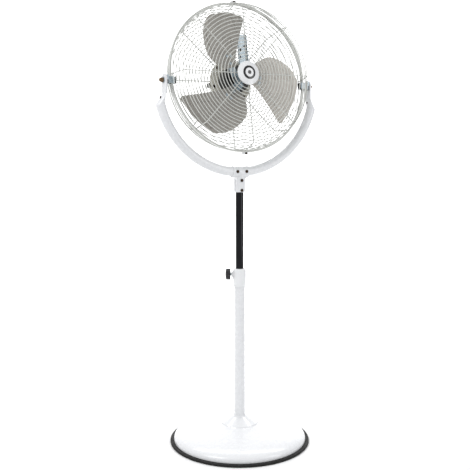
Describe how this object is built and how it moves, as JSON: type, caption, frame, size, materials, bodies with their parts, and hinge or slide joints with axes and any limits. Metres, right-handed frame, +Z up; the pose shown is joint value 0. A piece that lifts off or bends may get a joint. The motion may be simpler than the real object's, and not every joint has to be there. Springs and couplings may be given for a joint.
{
  "type": "pedestal fan",
  "caption": "Floor-standing fan with a wire cage and wide metal blades, held in a U-shaped yoke on a telescopic pole with a clamp knob and a round weighted base",
  "frame": {"origin": "on the floor, under the middle of the round base", "axes": "+Z up along the pole, the fan blows towards -Y, the tilt axis lies along X"},
  "size_m": [0.5612, 0.452, 1.4048],
  "materials": {
    "white_paint": "gloss powder coat",
    "guard_paint": "gloss powder coat on wire",
    "blade_paint": "satin light grey",
    "cream_paint": "satin off-white",
    "black_paint": "satin black",
    "dark_chrome": "polished",
    "steel": "plain steel",
    "zinc": "zinc plated",
    "dark_screw": "dark bronze plated",
    "iron": "raw casting",
    "black_rubber": "matt",
    "white_plastic": "gloss moulding",
    "black_plastic": "fine texture",
    "bush_plastic": "natural",
    "bronze": "aged brass",
    "copper": "enamelled wire",
    "lamination": "stacked sheet",
    "alloy": "cast"
  },
  "bodies": {
    "stand": {"edge_trim": "black_rubber", "base_plate": "steel", "base_weight": "iron", "weight_screws": "steel", "base_column": "steel", "base_cover": "white_paint", "foot_washer": "zinc", "foot_bolt": "zinc", "foot_ring": "white_paint", "outer_tube": "white_paint", "tube_plug": "steel", "clamp_collar": "white_plastic", "collar_insert": "bronze"},
    "pad": {"clamp_pad": "bush_plastic"},
    "knob": {"knob_stud": "zinc", "knob_grip": "black_plastic"},
    "bush": {"guide_bush": "bush_plastic"},
    "mast": {"bush_ring": "bush_plastic", "tube_end": "bush_plastic", "inner_tube": "dark_chrome", "neck_front": "white_paint", "neck_rear": "white_paint", "neck_screws": "dark_screw", "neck_nuts": "zinc", "yoke": "white_paint", "yoke_rivets": "dark_screw"},
    "head": {"front_guard": "guard_paint", "rear_guard": "guard_paint", "guard_hoop": "guard_paint", "hoop_clips": "white_paint", "hoop_screws": "dark_screw", "centre_cap": "white_plastic", "cap_plate": "zinc", "cap_screw": "zinc", "pivot_brackets": "zinc", "pivot_rubbers": "black_rubber", "pivot_bolts": "zinc", "pivot_washers": "zinc", "pivot_nuts": "bronze", "motor_can": "black_paint", "bearings": "steel", "stator": "lamination", "windings": "copper", "mount_plate": "cream_paint", "mount_screws": "dark_screw", "side_bracket": "zinc", "bracket_screws": "dark_screw", "rear_housing": "cream_paint", "speed_switch": "black_plastic", "capacitor": "black_plastic", "cable_gland": "black_rubber"},
    "dial": {"speed_dial": "black_plastic"},
    "fan": {"blade_a": "blade_paint", "blade_b": "blade_paint", "blade_c": "blade_paint", "blade_rivets": "zinc", "fan_hub": "zinc", "motor_shaft": "steel", "rotor_core": "lamination"}
  },
  "joints": [
    {"name": "height_slide", "type": "slide", "parent": "stand", "child": "bush", "axis": [0, 0, 1], "range_m": [-0.235, 0.12]},
    {"name": "swivel", "type": "hinge", "parent": "bush", "child": "mast", "pos_m": [0, 0, 0.6], "axis": [0, 0, 1], "continuous": true},
    {"name": "tilt", "type": "hinge", "parent": "mast", "child": "head", "pos_m": [0, 0, 1.148], "axis": [-1, 0, 0], "range_deg": [-69, 81]},
    {"name": "blade_spin", "type": "hinge", "parent": "head", "child": "fan", "pos_m": [0, 0.003, 1.16575], "axis": [0, -0.986, 0.1668], "continuous": true},
    {"name": "dial_turn", "type": "hinge", "parent": "head", "child": "dial", "pos_m": [0, 0.09893, 1.13329], "axis": [0, -0.986, 0.1668], "range_deg": [0, 135]},
    {"name": "pad_slide", "type": "slide", "parent": "stand", "child": "pad", "axis": [-0.8788, 0.4772, 0], "range_m": [0, 0.00126]},
    {"name": "knob_turn", "type": "hinge", "parent": "pad", "child": "knob", "pos_m": [-0.03252, 0.01766, 0.548], "axis": [-0.8788, 0.4772, 0], "range_deg": [0, 360]}
  ],
  "couplings": [
    {"joint": "pad_slide", "follows": "knob_turn", "m_per_rad": 0.00019894}
  ]
}
